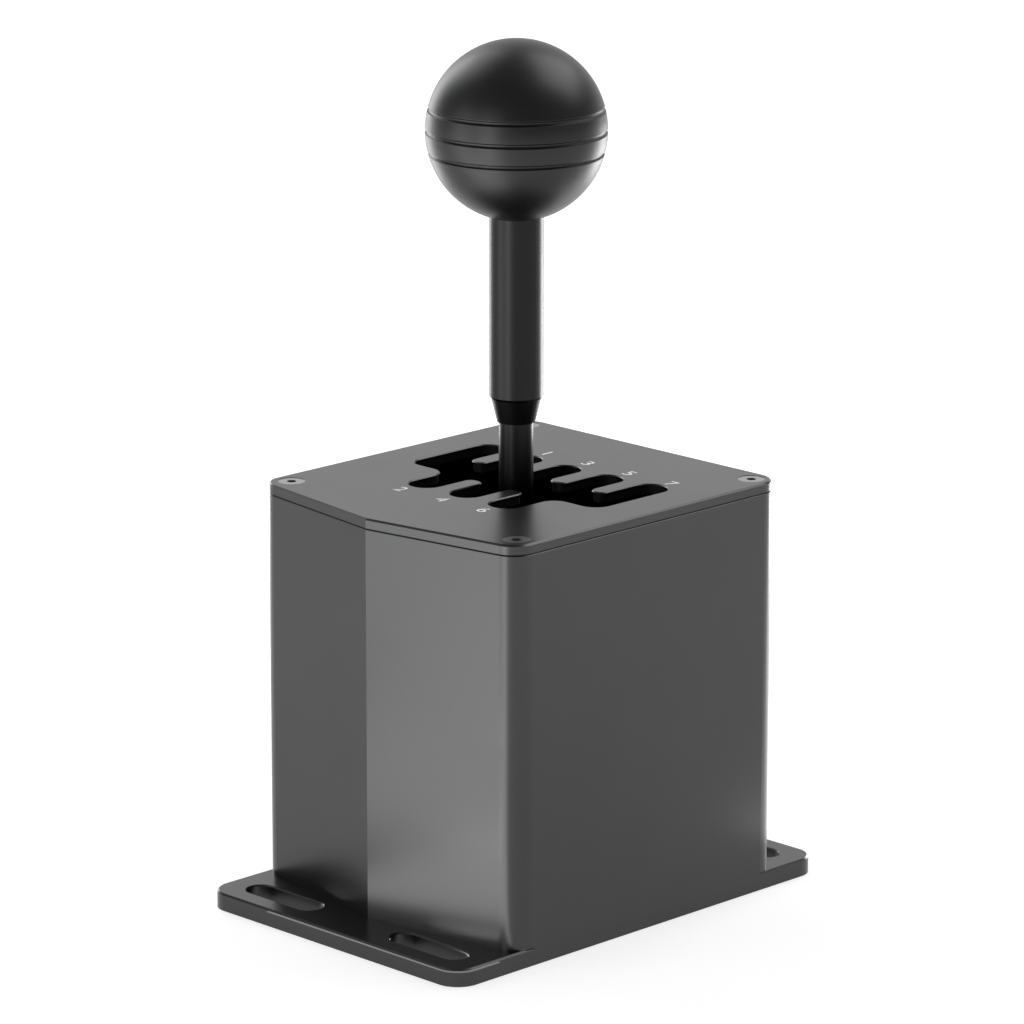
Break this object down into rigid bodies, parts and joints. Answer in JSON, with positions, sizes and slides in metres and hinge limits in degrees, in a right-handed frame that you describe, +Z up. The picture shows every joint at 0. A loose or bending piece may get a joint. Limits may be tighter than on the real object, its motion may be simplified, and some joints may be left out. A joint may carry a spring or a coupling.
{
  "type": "sim racing gear shifter",
  "caption": "H-pattern gear shifter for sim racing: a straight lever with a ball knob in a slotted gate plate, over a boxed spring-centred gimbal, on a base plate with bolt slots.",
  "frame": {"origin": "middle of the base plate's underside, below the lever in neutral", "axes": "+X to the driver's right, along the base's narrow side; +Y away from the driver, along the base's long side; +Z up along the lever"},
  "size_m": [0.1, 0.144, 0.2422],
  "materials": {
    "grey_anodised": "dark grey anodised, satin, fine grain",
    "black_steel": "black oxide, satin",
    "black_anodised": "black anodised, satin",
    "knob_black": "moulded black, matte with a soft sheen",
    "liner_black": "machined black acetal, satin",
    "plain_aluminium": "machined, satin",
    "screw_steel": "zinc plated, satin",
    "bearing_steel": "ground, bright",
    "spring_steel": "drawn wire, satin",
    "shaft_steel": "ground, bright",
    "brass": "machined, satin",
    "board_green": "solder-mask green, semi-gloss",
    "component_black": "moulded, semi-gloss",
    "socket_black": "moulded, matte",
    "magnet_nickel": "nickel plated"
  },
  "bodies": {
    "housing": {"base_plate": "grey_anodised", "body_shell": "grey_anodised", "gate_plate": "grey_anodised", "gate_liner": "liner_black", "gate_screws": "screw_steel", "shell_screws": "screw_steel", "front_pedestal": "plain_aluminium", "rear_pedestal": "plain_aluminium", "pedestal_screws": "screw_steel", "select_bearing_outer_rings": "bearing_steel", "select_bearing_balls": "bearing_steel", "guide_rod": "shaft_steel", "guide_blocks": "plain_aluminium", "guide_block_screws": "screw_steel", "centring_spring_left": "spring_steel", "centring_spring_right": "spring_steel", "select_sensor_board": "board_green", "select_sensor_posts": "brass", "select_sensor_screws": "screw_steel", "main_board": "board_green", "board_components": "component_black", "board_posts": "brass", "board_screws": "screw_steel", "data_socket": "socket_black", "socket_contacts": "brass", "socket_bezel": "black_anodised", "bezel_screws": "screw_steel"},
    "select_yoke": {"yoke_frame": "plain_aluminium", "select_shafts": "shaft_steel", "select_shaft_spacers": "plain_aluminium", "select_shaft_clips": "spring_steel", "select_bearing_inner_rings": "bearing_steel", "shift_bearing_outer_rings": "bearing_steel", "shift_bearing_balls": "bearing_steel", "centring_arm": "plain_aluminium", "centring_arm_screws": "screw_steel", "centring_pin": "shaft_steel", "detent_leaf": "spring_steel", "leaf_screws": "screw_steel", "shift_sensor_board": "board_green", "shift_sensor_posts": "brass", "shift_sensor_screws": "screw_steel", "select_magnet_holder": "plain_aluminium", "select_magnet": "magnet_nickel"},
    "shift_lever": {"lever_hub": "plain_aluminium", "hub_grub_screws": "screw_steel", "cross_shaft": "shaft_steel", "cross_shaft_spacers": "plain_aluminium", "cross_shaft_clip": "spring_steel", "shift_bearing_inner_rings": "bearing_steel", "detent_cam": "shaft_steel", "cam_nut": "screw_steel", "shift_magnet_holder": "plain_aluminium", "shift_magnet": "magnet_nickel", "lever_rod": "black_steel", "upper_sleeve": "black_anodised", "knob": "knob_black", "knob_insert": "brass"},
    "centring_slider": {"centring_slider": "liner_black"}
  },
  "joints": [
    {"name": "lever_select", "type": "hinge", "parent": "housing", "child": "select_yoke", "pos_m": [0, 0, 0.032], "axis": [0, 1, 0], "range_deg": [-10.4, 10.4], "stiffness_Nm_per_rad": 1.2},
    {"name": "lever_shift", "type": "hinge", "parent": "select_yoke", "child": "shift_lever", "pos_m": [0, 0, 0.032], "axis": [1, 0, 0], "range_deg": [-12.2, 12.2], "deforming": ["detent_leaf"]},
    {"name": "centring_travel", "type": "slide", "parent": "housing", "child": "centring_slider", "axis": [1, 0, 0], "range_m": [-0.0027, 0.0027], "deforming": ["centring_spring_left", "centring_spring_right"]}
  ],
  "couplings": [
    {"joint": "centring_travel", "follows": "lever_select", "m_per_rad": -0.0145}
  ]
}
